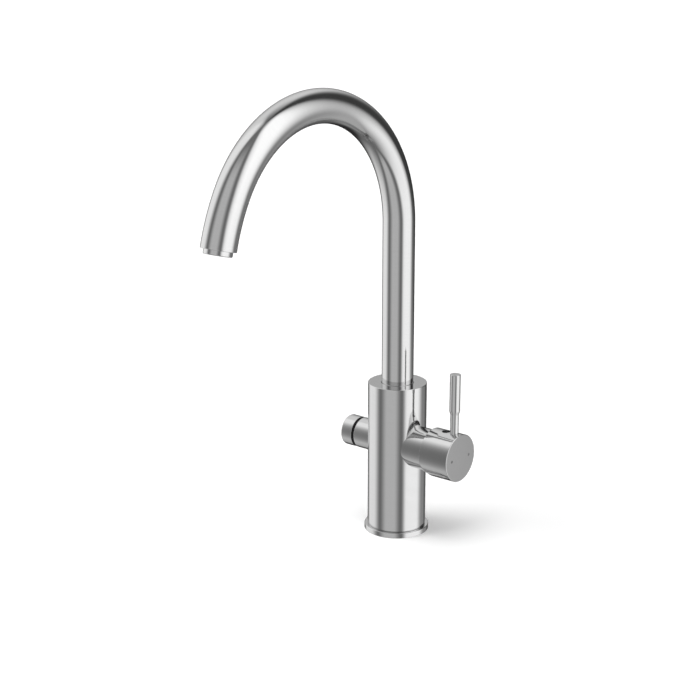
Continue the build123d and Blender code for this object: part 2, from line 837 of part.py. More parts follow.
def groove_floor():
    return spindle_diameter - 2 * spindle_groove_depth


def spindle_seal():
    inner = groove_floor() + 2 * wall_gap
    return around_x(spindle_seal_reach, spindle_seal_width, spindle_diameter + running_gap, inner)


def spindle_clip():
    start = filter_hex_end + seat_gap + face_gap
    ring = around_x(start, clip_thickness, clip_diameter, groove_floor() + 2 * wall_gap)
    gap = Pos(start, 0, -clip_diameter) * Box(4 * clip_thickness, clip_mouth, 2 * clip_diameter)
    return ring - gap


def grip_ring():
    inner = grip_ring_neck_diameter + 2 * wall_gap
    ring = around_x(filter_stub_reach + face_gap, grip_ring_width - 2 * face_gap, grip_ring_diameter, inner)
    return fillet(ring.edges().filter_by(GeomType.CIRCLE).sort_by(SortBy.RADIUS)[-2:], grip_ring_edge)


def filter_knob():
    knob = across(knob_back, knob_end_reach, filter_stub_diameter)
    rim = knob.edges().filter_by(GeomType.CIRCLE).sort_by(Axis.X)[-1]
    knob = fillet(rim, knob_edge_radius)
    knob -= across(knob_back - overcut, knob_back + knob_cavity_depth, filter_stub_diameter - 2 * knob_wall)
    knob += across(knob_back + knob_hub_recess, knob_back + knob_cavity_depth, knob_hub_diameter)
    knob -= square_bar(knob_back - overcut, spindle_end + seat_gap, spindle_square + 2 * wall_gap)
    knob -= across(0, spindle_square_start + knob_square_recess, spindle_diameter + 2 * seat_gap)
    screw_hole = knob_screw_diameter + 2 * wall_gap
    return knob - bar((knob_screw_reach, 0, -body_radius), (knob_screw_reach, 0, 0), screw_hole)


def knob_screw():
    outer = filter_stub_diameter / 2 - knob_screw_recess
    return grub_screw(knob_screw_reach, knob_screw_diameter, outer, spindle_square / 2 + face_gap)


keep("base_ring", base_ring())
keep("base_gasket", base_gasket())
keep("mounting_shank", mounting_shank())
rubber_top = -worktop_thickness
steel_top = rubber_top - rubber_washer_thickness
keep("deck_rubber_washer", deck_washer(rubber_top, rubber_washer_thickness))
keep("deck_steel_washer", deck_washer(steel_top, steel_washer_thickness))
keep("shank_nut", shank_nut(steel_top - steel_washer_thickness))

keep("body_shell", body_shell())
keep("valve_core", valve_core())
keep("hot_inlet_socket", inlet_socket(*hot_place))
keep("cold_inlet_socket", inlet_socket(*cold_place))
keep("filter_inlet_socket", inlet_socket(*filter_place))
keep("spout_slip_ring", slip_ring())
keep("filter_stem_seal", filter_stem_seal())
keep("spout_lock_screw", spout_lock_screw())

keep("spout_tube", spout_tube())
keep("spout_foot", spout_foot())
keep("spout_orings", spout_orings())
keep("filter_tube", filter_tube())
keep("nozzle_insert", nozzle_insert())
keep("aerator_housing", spout_end_plane * aerator_housing())
keep("aerator_washer", spout_end_plane * aerator_washer())
keep("aerator_strainer", spout_end_plane * aerator_strainer())

keep("mixer_housing", side_axis * mixer_housing())
keep("cartridge_base", side_axis * cartridge_base())
keep("cartridge_seals", side_axis * cartridge_seals())
keep("cartridge_shell", side_axis * cartridge_shell())
keep("mixer_fixed_disc", side_axis * mixer_fixed_disc())
keep("mixer_moving_disc", side_axis * mixer_moving_disc())
keep("disc_carrier", side_axis * disc_carrier())
keep("cartridge_rotor", side_axis * cartridge_rotor())
keep("stem_pin", side_axis * stem_pin())
keep("cartridge_stem", side_axis * cartridge_stem())
keep("cartridge_nut", side_axis * cartridge_nut())
keep("dome_ring", side_axis * dome_ring())

keep("handle_cap", side_axis * handle_cap())
keep("lever_pin", lever_pin())
keep("cap_screw", side_axis * cap_screw())
keep("hot_index_dot", side_axis * index_dot(-index_dot_spread))
keep("cold_index_dot", side_axis * index_dot(index_dot_spread))

keep("filter_housing", filter_side * filter_housing())
keep("filter_seal", filter_side * filter_seal())
keep("filter_fixed_disc", filter_side * filter_fixed_disc())
keep("filter_moving_disc", filter_side * filter_moving_disc())
keep("filter_valve_body", filter_side * filter_valve_body())
keep("filter_spindle", filter_side * filter_spindle())
keep("spindle_seal", filter_side * spindle_seal())
keep("spindle_clip", filter_side * spindle_clip())
keep("grip_ring", filter_side * grip_ring())
keep("filter_knob", filter_side * filter_knob())
keep("knob_screw", filter_side * knob_screw())
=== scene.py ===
import json
from math import atan2, cos, pi, radians, sin, tan

import bmesh
import bpy
from mathutils import Matrix, Vector


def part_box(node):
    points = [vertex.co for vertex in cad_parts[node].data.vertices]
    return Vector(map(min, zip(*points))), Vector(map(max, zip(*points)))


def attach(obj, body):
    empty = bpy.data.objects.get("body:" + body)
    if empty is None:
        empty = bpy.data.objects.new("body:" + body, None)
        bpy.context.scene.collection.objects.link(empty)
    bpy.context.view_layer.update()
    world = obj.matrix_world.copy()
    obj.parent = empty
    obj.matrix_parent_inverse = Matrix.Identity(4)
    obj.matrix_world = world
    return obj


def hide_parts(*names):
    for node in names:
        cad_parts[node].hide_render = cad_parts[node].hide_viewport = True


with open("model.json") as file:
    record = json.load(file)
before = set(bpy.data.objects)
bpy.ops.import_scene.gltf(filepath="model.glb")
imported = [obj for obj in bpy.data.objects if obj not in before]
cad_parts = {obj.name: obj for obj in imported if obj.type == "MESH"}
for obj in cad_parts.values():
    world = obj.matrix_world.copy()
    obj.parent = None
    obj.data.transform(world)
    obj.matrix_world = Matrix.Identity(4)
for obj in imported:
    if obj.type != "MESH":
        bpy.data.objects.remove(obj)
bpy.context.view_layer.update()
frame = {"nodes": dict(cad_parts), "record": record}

# Kitchen mixer tap with a filtered-water knob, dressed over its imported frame.
# Metres throughout. The spout points to -Y, the mixer handle is on +X, the filter knob on -X.

mm = 0.001
overcut = 1 * mm  # cutting tools go this far past what they cut
tiny = 1e-6
scene = bpy.context.scene


# Meshes
def roundedOutline(corners, arcSteps=5):
    # corners are (along, radius) or (along, radius, rounding): a rounding becomes an arc
    outline = []
    for index, corner in enumerate(corners):
        here = Vector(corner[:2])
        rounding = corner[2] if len(corner) > 2 else 0
        if rounding == 0:
            outline.append(tuple(here))
            continue
        toBefore = (Vector(corners[index - 1][:2]) - here).normalized()
        toAfter = (Vector(corners[(index + 1) % len(corners)][:2]) - here).normalized()
        half = toBefore.angle(toAfter) / 2
        centre = here + (toBefore + toAfter).normalized() * (rounding / sin(half))
        start = here + toBefore * (rounding / tan(half)) - centre
        end = here + toAfter * (rounding / tan(half)) - centre
        first = atan2(start.y, start.x)
        turn = (atan2(end.y, end.x) - first + pi) % (2 * pi) - pi
        for step in range(arcSteps + 1):
            angle = first + turn * step / arcSteps
            outline.append((centre.x + rounding * cos(angle), centre.y + rounding * sin(angle)))
    return outline


def straightPlace(origin, axis):
    # a turning axis through origin: outlines run along it
    frameTurn = Vector((0, 0, 1)).rotation_difference(Vector(axis)).to_matrix().to_4x4()
    return lambda along: Matrix.Translation(Vector(origin)) @ frameTurn @ Matrix.Translation((0, 0, along))


def turnedPiece(name, outline, placeAt, segments=160):
    # turns a closed outline round its axis, and keeps where each point lies round and along the outline
    build = bmesh.new()
    turned = build.verts.layers.float_vector.new("turned")
    rings = []
    travelled = 0
    for index, (along, radius) in enumerate(outline):
        travelled += (Vector(outline[index]) - Vector(outline[index - 1])).length if index else 0
        place = placeAt(along)
        count = segments if radius > tiny else 1
        ring = []
        for step in range(count):
            angle = 2 * pi * step / segments
            vert = build.verts.new(place @ Vector((radius * cos(angle), radius * sin(angle), 0)))
            vert[turned] = (cos(angle), sin(angle), travelled)
            ring.append(vert)
        rings.append(ring)
    for index, ring in enumerate(rings):
        nextRing = rings[(index + 1) % len(rings)]
        for step in range(segments):
            after = (step + 1) % segments
            if len(ring) == 1 and len(nextRing) == 1:
                break
            if len(ring) == 1:
                build.faces.new((ring[0], nextRing[after], nextRing[step]))
            elif len(nextRing) == 1:
                build.faces.new((ring[step], ring[after], nextRing[0]))
            else:
                build.faces.new((ring[step], ring[after], nextRing[after], nextRing[step]))
    bmesh.ops.recalc_face_normals(build, faces=build.faces)
    mesh = bpy.data.meshes.new(name)
    build.to_mesh(mesh)
    build.free()
    piece = bpy.data.objects.new(name, mesh)
    scene.collection.objects.link(piece)
    return piece


def settle(piece):
    # the modifiers become the mesh
    view = bpy.context.evaluated_depsgraph_get()
    finished = bpy.data.meshes.new_from_object(piece.evaluated_get(view))
    piece.modifiers.clear()
    piece.data = finished


def cutAway(piece, tools, operation="DIFFERENCE"):
    for tool in tools:
        cut = piece.modifiers.new("cut", "BOOLEAN")
        cut.operation = operation
        cut.solver = "EXACT"
        cut.object = tool
    settle(piece)
    for tool in tools:
        bpy.data.objects.remove(tool)


def smoothShade(piece, creaseAngle=32):
    # smooth over the roundings, with the broad faces kept true
    piece.data.shade_smooth()
    piece.data.set_sharp_from_angle(angle=radians(creaseAngle))
    weighted = piece.modifiers.new("trueFaces", "WEIGHTED_NORMAL")
    weighted.keep_sharp = True
    settle(piece)


def finishPiece(piece, body, material, replaced=()):
    smoothShade(piece)
    piece.data.materials.clear()
    piece.data.materials.append(material)
    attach(piece, body)
    if replaced:
        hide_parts(*replaced)
    return piece


def bar(start, end, radius, segments=64):
    # a plain round bar between two points, used to cut holes
    axis = Vector(end) - Vector(start)
    outline = [(0, 0), (0, radius), (axis.length, radius), (axis.length, 0)]
    return turnedPiece("bar", outline, straightPlace(start, axis), segments)


def squareBar(start, end, across):
    build = bmesh.new()
    bmesh.ops.create_cube(build, size=1)
    middle = (Vector(start) + Vector(end)) / 2
    length = (Vector(end) - Vector(start)).length
    shape = Matrix.Translation(middle) @ Matrix.Diagonal((length, across, across, 1))
    bmesh.ops.transform(build, matrix=shape, verts=build.verts)
    mesh = bpy.data.meshes.new("squareBar")
    build.to_mesh(mesh)
    build.free()
    tool = bpy.data.objects.new("squareBar", mesh)
    scene.collection.objects.link(tool)
    return tool


# Materials
def newMaterial(name, baseColor, roughness, metallic=0.0):
    material = bpy.data.materials.new(name)
    material.use_nodes = True
    shader = material.node_tree.nodes["Principled BSDF"]
    shader.inputs["Base Color"].default_value = (*baseColor, 1)
    shader.inputs["Roughness"].default_value = roughness
    shader.inputs["Metallic"].default_value = metallic
    return material, material.node_tree, shader


def addNode(tree, kind, **settings):
    node = tree.nodes.new(kind)
    for key, value in settings.items():
        setattr(node, key, value)
    return node


def mathNode(tree, operation, *values):
    node = addNode(tree, "ShaderNodeMath", operation=operation)
    for index, value in enumerate(values):
        if isinstance(value, (int, float)):
            node.inputs[index].default_value = value
        else:
            tree.links.new(value, node.inputs[index])
    return node.outputs[0]


def remap(tree, source, low, high, fromLow=0.0, fromHigh=1.0):
    node = addNode(tree, "ShaderNodeMapRange")
    tree.links.new(source, node.inputs["Value"])
    node.inputs["From Min"].default_value = fromLow
    node.inputs["From Max"].default_value = fromHigh
    node.inputs["To Min"].default_value = low
    node.inputs["To Max"].default_value = high
    return node.outputs["Result"]


def stretchedNoise(tree, vector, scale, detail=3.0):
    mapping = addNode(tree, "ShaderNodeMapping")
    mapping.inputs["Scale"].default_value = scale
    tree.links.new(vector, mapping.inputs["Vector"])
    noise = addNode(tree, "ShaderNodeTexNoise")
    noise.inputs["Scale"].default_value = 1.0
    noise.inputs["Detail"].default_value = detail
    tree.links.new(mapping.outputs["Vector"], noise.inputs["Vector"])
    return noise.outputs["Fac"]


def tint(tree, factor, darkColor, paleColor):
    mix = addNode(tree, "ShaderNodeMix", data_type="RGBA")
    mix.inputs["A"].default_value = (*darkColor, 1)
    mix.inputs["B"].default_value = (*paleColor, 1)
    tree.links.new(factor, mix.inputs["Factor"])
    return mix.outputs["Result"]


def scaled(color, factor):
    return tuple(min(1, part * factor) for part in color)


def addBump(tree, shader, height, strength, distance):
    bump = addNode(tree, "ShaderNodeBump")
    bump.inputs["Strength"].default_value = strength
    bump.inputs["Distance"].default_value = distance
    tree.links.new(height, bump.inputs["Height"])
    tree.links.new(bump.outputs["Normal"], shader.inputs["Normal"])


steelFinish = {
    "color": (0.63, 0.63, 0.63),
    "roughness": 0.1,
    "roughnessSpread": 0.04,
    "toneSpread": 0.05,
    "lineWidth": 0.25 * mm,
    "lineTurns": 1.6,  # along the lines, on the pieces turned here
    "lineStretch": 40,  # along the lines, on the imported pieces
    "lineStrength": 0.25,
    "lineDepth": 0.002 * mm,
    "cloudScale": 35,
}


def brushedSteelMaterial(name, finish, fromTurning=True):
    # fine brush lines: round the turning axis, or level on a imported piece
    material, tree, shader = newMaterial(name, finish["color"], finish["roughness"], 1.0)
    fine = 1 / finish["lineWidth"]
    if fromTurning:
        vector = addNode(tree, "ShaderNodeAttribute", attribute_name="turned").outputs["Vector"]
        slow = finish["lineTurns"]
    else:
        vector = addNode(tree, "ShaderNodeTexCoord").outputs["Object"]
        slow = finish["lineStretch"]
    lines = stretchedNoise(tree, vector, (slow, slow, fine))
    place = addNode(tree, "ShaderNodeTexCoord").outputs["Object"]
    clouds = stretchedNoise(tree, place, (finish["cloudScale"],) * 3, 2)
    both = mathNode(tree, "ADD", lines, clouds)  # mostly between 0.5 and 1.5
    smoothest = finish["roughness"] - finish["roughnessSpread"]
    roughest = finish["roughness"] + finish["roughnessSpread"]
    tree.links.new(remap(tree, both, smoothest, roughest, 0.5, 1.5), shader.inputs["Roughness"])
    dark = scaled(finish["color"], 1 - finish["toneSpread"])
    pale = scaled(finish["color"], 1 + finish["toneSpread"])
    tree.links.new(tint(tree, lines, dark, pale), shader.inputs["Base Color"])
    addBump(tree, shader, lines, finish["lineStrength"], finish["lineDepth"])
    return material


machinedFinish = {
    "markStretch": 300,
    "markStrength": 0.3,
    "markDepth": 0.01 * mm,
    "smoother": 0.08,
    "rougher": 0.1,
    "stainScale": 60,
    "darkest": 0.86,
    "palest": 1.1,
}


def machinedMaterial(name, color, roughness, grain):
    # bare metal with faint tool marks
    finish = machinedFinish
    material, tree, shader = newMaterial(name, color, roughness, 1.0)
    place = addNode(tree, "ShaderNodeTexCoord").outputs["Object"]
    marks = stretchedNoise(tree, place, (finish["markStretch"], finish["markStretch"], grain), 2)
    stain = stretchedNoise(tree, place, (finish["stainScale"],) * 3, 3)
    dark, pale = scaled(color, finish["darkest"]), scaled(color, finish["palest"])
    tree.links.new(tint(tree, stain, dark, pale), shader.inputs["Base Color"])
    rough = remap(tree, marks, roughness - finish["smoother"], roughness + finish["rougher"])
    tree.links.new(rough, shader.inputs["Roughness"])
    addBump(tree, shader, marks, finish["markStrength"], finish["markDepth"])
    return material


mouldedFinish = {"roughnessSpread": 0.07, "grainStrength": 0.4, "cloudScale": 90}


def mouldedMaterial(name, color, roughness, grainSize, grainDepth, toneSpread, shine=0.5):
    # rubber, plastic, ceramic or enamel with its own fine grain
    finish = mouldedFinish
    material, tree, shader = newMaterial(name, color, roughness)
    place = addNode(tree, "ShaderNodeTexCoord").outputs["Object"]
    fine = 1 / grainSize
    grain = stretchedNoise(tree, place, (fine, fine, fine), 4)
    clouds = stretchedNoise(tree, place, (finish["cloudScale"],) * 3, 2)
    dark = scaled(color, 1 - toneSpread)
    pale = scaled(color, 1 + toneSpread)
    shader.inputs["Specular IOR Level"].default_value = shine
    tree.links.new(tint(tree, clouds, dark, pale), shader.inputs["Base Color"])
    rough = remap(tree, grain, roughness - finish["roughnessSpread"], roughness + finish["roughnessSpread"])
    tree.links.new(rough, shader.inputs["Roughness"])
    addBump(tree, shader, grain, finish["grainStrength"], grainDepth)
    return material


brushedSteel = brushedSteelMaterial("brushedSteel", steelFinish)
brushedSteelPlain = brushedSteelMaterial("brushedSteelPlain", steelFinish, fromTurning=False)
slotMaterials = {
    "brushed_steel": brushedSteelPlain,
    "brass": machinedMaterial("turnedBrass", (0.71, 0.55, 0.29), roughness=0.3, grain=2500),
    "plain_steel": machinedMaterial("plainSteel", (0.55, 0.55, 0.56), roughness=0.28, grain=1800),
    "black_rubber": mouldedMaterial(
        "blackRubber", (0.004, 0.004, 0.0045), roughness=0.6,
        grainSize=0.15 * mm, grainDepth=0.02 * mm, toneSpread=0.1, shine=0.15,
    ),
    "white_plastic": mouldedMaterial(
        "whitePlastic", (0.8, 0.8, 0.78), roughness=0.42,
        grainSize=0.4 * mm, grainDepth=0.01 * mm, toneSpread=0.03,
    ),
    "ceramic": mouldedMaterial(
        "lappedCeramic", (0.86, 0.85, 0.82), roughness=0.22,
        grainSize=0.1 * mm, grainDepth=0.002 * mm, toneSpread=0.02,
    ),
    "grey_dot": mouldedMaterial(
        "greyEnamel", (0.2, 0.2, 0.2), roughness=0.35,
        grainSize=0.2 * mm, grainDepth=0.01 * mm, toneSpread=0.1,
    ),
}
for subpart in frame["record"]["subparts"]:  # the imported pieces
    node = frame["nodes"][subpart["node"]]
    node.data.materials.clear()
    node.data.materials.append(slotMaterials[subpart["material_slot"]])
print("materials ready:", len(bpy.data.materials))


# Places shared by the pieces
bodyLow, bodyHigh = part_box("body_shell")
bodyRadius = bodyHigh.x
sideHeight = (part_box("filter_knob")[0].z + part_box("filter_knob")[1].z) / 2
upright = straightPlace((0, 0, 0), (0, 0, 1))
mixerSide = straightPlace((0, 0, sideHeight), (1, 0, 0))
filterSide = straightPlace((0, 0, sideHeight), (-1, 0, 0))


# Spout: riser, main bend and a gentler end bend in one tube
spout = {
    "bottom": 117 * mm,
    "riserTop": 269.7 * mm,
    "reach": 213.9 * mm,
    "mainTurn": radians(150.3),
    "endRadius": 157 * mm,
    "endTurn": radians(15.3),
    "wall": 1.0 * mm,
    "lip": 0.35 * mm,
    "bendStep": radians(1.2),
    "riserStep": 6 * mm,
    "lastStep": 1 * mm,
    "around": 120,
}
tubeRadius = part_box("spout_tube")[1].x
endReach = spout["endRadius"] * (cos(spout["mainTurn"]) - cos(spout["mainTurn"] + spout["endTurn"]))
mainRadius = (spout["reach"] - endReach) / (1 - cos(spout["mainTurn"]))
riserLength = spout["riserTop"] - spout["bottom"]
mainLength = mainRadius * spout["mainTurn"]
spoutLength = riserLength + mainLength + spout["endRadius"] * spout["endTurn"]


def spoutPlace(along):
    # where the tube's centre line is, and how it is turned, at a length from its bottom
    if along < riserLength:
        turn, spot = 0, Vector((0, 0, spout["bottom"] + along))
    elif along < riserLength + mainLength:
        turn = (along - riserLength) / mainRadius
        spot = Vector((0, -mainRadius * (1 - cos(turn)), spout["riserTop"] + mainRadius * sin(turn)))
    else:
        start = spout["mainTurn"]
        turn = start + (along - riserLength - mainLength) / spout["endRadius"]
        bendStart = Vector((0, -mainRadius * (1 - cos(start)), spout["riserTop"] + mainRadius * sin(start)))
        across = spout["endRadius"] * (cos(turn) - cos(start))
        rise = spout["endRadius"] * (sin(turn) - sin(start))
        spot = bendStart + Vector((0, across, rise))
    return Matrix.Translation(spot) @ Matrix.Rotation(turn, 4, "X")


def spoutStations():
    # lengths at which the tube gets a ring of points
    stations = []
    along = 0
    while along < riserLength:
        stations.append(along)
        along += spout["riserStep"]
    along = riserLength
    while along < spoutLength - spout["lastStep"]:
        stations.append(along)
        along += (mainRadius if along < riserLength + mainLength else spout["endRadius"]) * spout["bendStep"]
    return stations


def makeSpoutTube():
    stations = spoutStations()
    inner = tubeRadius - spout["wall"]
    rim = roundedOutline([
        (stations[-1], tubeRadius),
        (spoutLength, tubeRadius, spout["lip"]),
        (spoutLength, inner, spout["lip"]),
        (stations[-1], inner),
    ])
    outside = [(along, tubeRadius) for along in stations[:-1]]
    inside = [(along, inner) for along in reversed(stations[:-1])]
    tube = turnedPiece("spoutTube", outside + rim + inside, spoutPlace, spout["around"])
    return finishPiece(tube, "spout", brushedSteel, ["spout_tube"])


makeSpoutTube()
print("spout tube done")


# Aerator collar in the end of the tube
aerator = {
    "thread": 9 * mm,
    "proud": 3.9 * mm,
    "radius": 10.9 * mm,
    "wall": 1.3 * mm,
    "rounding": 0.8 * mm,
    "innerRounding": 0.3 * mm,
}


def makeAeratorCollar():
    outer = aerator["radius"]
    inner = outer - aerator["wall"]
    outline = roundedOutline([
        (-aerator["thread"], inner),
        (-aerator["thread"], outer),
        (aerator["proud"], outer, aerator["rounding"]),
        (aerator["proud"], inner, aerator["innerRounding"]),
    ])
    tubeEnd = spoutPlace(spoutLength)
    collar = turnedPiece("aeratorCollar", outline, lambda along: tubeEnd @ Matrix.Translation((0, 0, along)))
    return finishPiece(collar, "spout", brushedSteel, ["aerator_housing"])


makeAeratorCollar()
print("aerator collar done")


# Base ring with the groove for its gasket
baseRing = {
    "bore": 16.7 * mm,
    "grooveInner": 22.5 * mm,
    "grooveOuter": 25.5 * mm,
    "groove": 2.4 * mm,
    "lowRounding": 0.2 * mm,
    "topRounding": 0.5 * mm,
    "around": 220,
}


def makeBaseRing():
    low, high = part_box("base_ring")
    outline = roundedOutline([
        (low.z, baseRing["bore"]),
        (low.z, baseRing["grooveInner"]),
        (low.z + baseRing["groove"], baseRing["grooveInner"]),
        (low.z + baseRing["groove"], baseRing["grooveOuter"]),
        (low.z, baseRing["grooveOuter"]),
        (low.z, high.x, baseRing["lowRounding"]),
        (high.z, high.x, baseRing["topRounding"]),
        (high.z, baseRing["bore"]),
    ])
    ring = turnedPiece("baseRing", outline, upright, baseRing["around"])
    return finishPiece(ring, "tap_body", brushedSteel, ["base_ring"])


makeBaseRing()


# Body shell with the holes for spout, stubs and lock screw
body = {
    "wall": 2.5 * mm,
    "topWall": 4 * mm,
    "topRounding": 0.5 * mm,
    "bottomRounding": 0.5 * mm,
    "tubeHole": 13.56 * mm,
    "holeRounding": 0.8 * mm,
    "mixerHole": 16.02 * mm,
    "filterHole": 11.62 * mm,
    "screwHole": 2.52 * mm,
    "screwHeight": 112.4 * mm,
    "around": 240,
    "holeAround": 128,
}


def makeBodyShell():
    inner = bodyRadius - body["wall"]
    outline = roundedOutline([
        (bodyLow.z, inner),
        (bodyLow.z, bodyRadius, body["bottomRounding"]),
        (bodyHigh.z, bodyRadius, body["topRounding"]),
        (bodyHigh.z, body["tubeHole"], body["holeRounding"]),
        (bodyHigh.z - body["topWall"], body["tubeHole"]),
        (bodyHigh.z - body["topWall"], inner),
    ])
    shell = turnedPiece("bodyShell", outline, upright, body["around"])
    far = 2 * bodyRadius
    screwHeight = body["screwHeight"]
    cutAway(shell, [
        bar((0, 0, sideHeight), (far, 0, sideHeight), body["mixerHole"], body["holeAround"]),
        bar((0, 0, sideHeight), (-far, 0, sideHeight), body["filterHole"], body["holeAround"]),
        bar((0, 0, screwHeight), (0, far, screwHeight), body["screwHole"]),
    ])
    return finishPiece(shell, "tap_body", brushedSteel, ["body_shell"])


makeBodyShell()
print("body and base done")


# Stubs on both sides, saddled on the body, each with a spigot in the shell's hole
stubs = {"saddleGap": 0.05 * mm, "around": 200, "saddleAround": 240}


def makeStub(name, corners, spigotRadius, place, side, node):
    stub = turnedPiece(name, roundedOutline(corners), place, stubs["around"])
    saddle = bar((0, 0, 0), (0, 0, bodyHigh.z), bodyRadius + stubs["saddleGap"], stubs["saddleAround"])
    spigotEnd = (side * 2 * bodyRadius, 0, sideHeight)
    spigot = bar((0, 0, sideHeight), spigotEnd, spigotRadius, stubs["around"])
    cutAway(saddle, [spigot])
    cutAway(stub, [saddle])
    return finishPiece(stub, "tap_body", brushedSteel, [node])


mixerStub = {
    "back": 13 * mm,
    "reach": 38 * mm,
    "radius": 17.8 * mm,
    "bore": 12.92 * mm,
    "mouth": 33.5 * mm,
    "mouthRadius": 15.57 * mm,
    "spigot": 15.98 * mm,
    "rounding": 0.35 * mm,
    "mouthRounding": 0.2 * mm,
}
filterStub = {
    "back": 14 * mm,
    "reach": 37.5 * mm,
    "radius": 13.3 * mm,
    "bore": 9.1 * mm,
    "mouth": 31 * mm,
    "mouthRadius": 10.3 * mm,
    "spigot": 11.58 * mm,
    "neck": 11.4 * mm,
    "neckEnd": 40.1 * mm,
    "rounding": 0.35 * mm,
    "neckRounding": 0.2 * mm,
}


def makeMixerStub():
    size = mixerStub
    corners = [
        (size["back"], size["bore"]),
        (size["back"], size["radius"]),
        (size["reach"], size["radius"], size["rounding"]),
        (size["reach"], size["mouthRadius"], size["mouthRounding"]),
        (size["mouth"], size["mouthRadius"]),
        (size["mouth"], size["bore"]),
    ]
    return makeStub("mixerStub", corners, size["spigot"], mixerSide, 1, "mixer_housing")


def makeFilterStub():
    size = filterStub
    corners = [
        (size["back"], size["bore"]),
        (size["back"], size["radius"]),
        (size["reach"], size["radius"], size["rounding"]),
        (size["reach"], size["neck"]),
        (size["neckEnd"], size["neck"], size["neckRounding"]),
        (size["neckEnd"], size["mouthRadius"]),
        (size["mouth"], size["mouthRadius"]),
        (size["mouth"], size["bore"]),
    ]
    return makeStub("filterStub", corners, size["spigot"], filterSide, -1, "filter_housing")


makeMixerStub()
makeFilterStub()
print("side stubs done")


# Handle cap: a drum, open at the back, thinned towards the stub below, with the lever and the screw on top
cap = {
    "back": 38.6 * mm,
    "wall": 2.3 * mm,
    "backRounding": 0.08 * mm,
    "mouthRounding": 0.2 * mm,
    "radius": 20.35 * mm,
    "face": 66.5 * mm,
    "rounding": 0.5 * mm,
    "cavity": 47.5 * mm,
    "reliefDepth": 1.75 * mm,
    "reliefLength": 6.8 * mm,
    "reliefRise": 2.5 * mm,
    "leverReach": 59.8 * mm,
    "seatBottom": 97.65 * mm,
    "seatRadius": 3.57 * mm,
    "threadRadius": 3.02 * mm,
    "threadBottom": 89.15 * mm,
    "screwReach": 51.4 * mm,
    "screwRadius": 3.02 * mm,
    "screwMouthRadius": 3.4 * mm,
    "screwMouthDepth": 4 * mm,
    "stemEnd": 60.1 * mm,
    "stemAcross": 7.04 * mm,
    "dotSpread": 12 * mm,
    "dotRadius": 1.2 * mm,
    "dotDepth": 0.8 * mm,
    "around": 220,
}


def capRelief():
    # a cone whose axis lies a little higher than the cap's, so that only the lower back gets thinner
    size = cap
    slope = size["reliefDepth"] / size["reliefLength"]
    backRadius = size["radius"] - size["reliefDepth"] + size["reliefRise"]
    start, end = size["back"] - overcut, size["face"] + overcut
    outline = [
        (start, 0),
        (start, backRadius - slope * overcut),
        (end, backRadius + slope * (end - size["back"])),
        (end, 0),
    ]
    place = straightPlace((0, 0, sideHeight + size["reliefRise"]), (1, 0, 0))
    return turnedPiece("capRelief", outline, place, size["around"])


def makeHandleCap():
    size = cap
    outline = roundedOutline([
        (size["back"], size["radius"] - size["wall"], size["mouthRounding"]),
        (size["back"], size["radius"], size["backRounding"]),
        (size["face"], size["radius"], size["rounding"]),
        (size["face"], 0),
        (size["cavity"], 0),
        (size["cavity"], size["radius"] - size["wall"]),
    ])
    drum = turnedPiece("handleCap", outline, mixerSide, size["around"])
    cutAway(drum, [capRelief()], "INTERSECT")
    reach, screw = size["leverReach"], size["screwReach"]
    top = sideHeight + 2 * size["radius"]
    mouth = sideHeight + size["radius"] - size["screwMouthDepth"]
    stemStart, stemEnd = (size["cavity"] - overcut, 0, sideHeight), (size["stemEnd"], 0, sideHeight)
    holes = [
        bar((reach, 0, size["seatBottom"]), (reach, 0, top), size["seatRadius"]),
        bar((reach, 0, size["threadBottom"]), (reach, 0, top), size["threadRadius"]),
        bar((screw, 0, sideHeight), (screw, 0, top), size["screwRadius"]),
        bar((screw, 0, mouth), (screw, 0, top), size["screwMouthRadius"]),
        squareBar(stemStart, stemEnd, size["stemAcross"]),
    ]
    for y in (-size["dotSpread"], size["dotSpread"]):
        dotFloor = size["face"] - size["dotDepth"]
        holes.append(bar((dotFloor, y, sideHeight), (2 * size["face"], y, sideHeight), size["dotRadius"]))
    cutAway(drum, holes)
    return finishPiece(drum, "mixer_lever", brushedSteel, ["handle_cap"])


indexDot = {"sunk": 0.03 * mm, "play": 0.02 * mm, "floorPlay": 0.05 * mm, "rounding": 0.12 * mm, "around": 48}


def makeIndexDot(name, y, node):
    # enamel filled to just under the face
    face = cap["face"] - indexDot["sunk"]
    back = face - cap["dotDepth"] + indexDot["floorPlay"]
    radius = cap["dotRadius"] - indexDot["play"]
    outline = roundedOutline([
        (back, 0),
        (back, radius),
        (face, radius, indexDot["rounding"]),
        (face, 0),
    ])
    dot = turnedPiece(name, outline, straightPlace((0, y, sideHeight), (1, 0, 0)), indexDot["around"])
    return finishPiece(dot, "mixer_lever", slotMaterials["grey_dot"], [node])


lever = {
    "threadBottom": 89.65 * mm,
    "threadRadius": 3 * mm,
    "threadRounding": 0.3 * mm,
    "seatBottom": 97.65 * mm,
    "thinRadius": 3.55 * mm,
    "stepBottom": 115.6 * mm,
    "stepTop": 118.6 * mm,
    "stepRounding": 0.5 * mm,
    "thickRadius": 4.5 * mm,
    "top": 150.4 * mm,
    "rounding": 0.5 * mm,
    "around": 96,
}


def makeLeverPin():
    size = lever
    outline = roundedOutline([
        (size["threadBottom"], 0),
        (size["threadBottom"], size["threadRadius"], size["threadRounding"]),
        (size["seatBottom"], size["threadRadius"]),
        (size["seatBottom"], size["thinRadius"]),
        (size["stepBottom"], size["thinRadius"], size["stepRounding"]),
        (size["stepTop"], size["thickRadius"], size["stepRounding"]),
        (size["top"], size["thickRadius"], size["rounding"]),
        (size["top"], 0),
    ])
    place = straightPlace((cap["leverReach"], 0, 0), (0, 0, 1))
    pin = turnedPiece("leverPin", outline, place, size["around"])
    return finishPiece(pin, "mixer_lever", brushedSteel, ["lever_pin"])


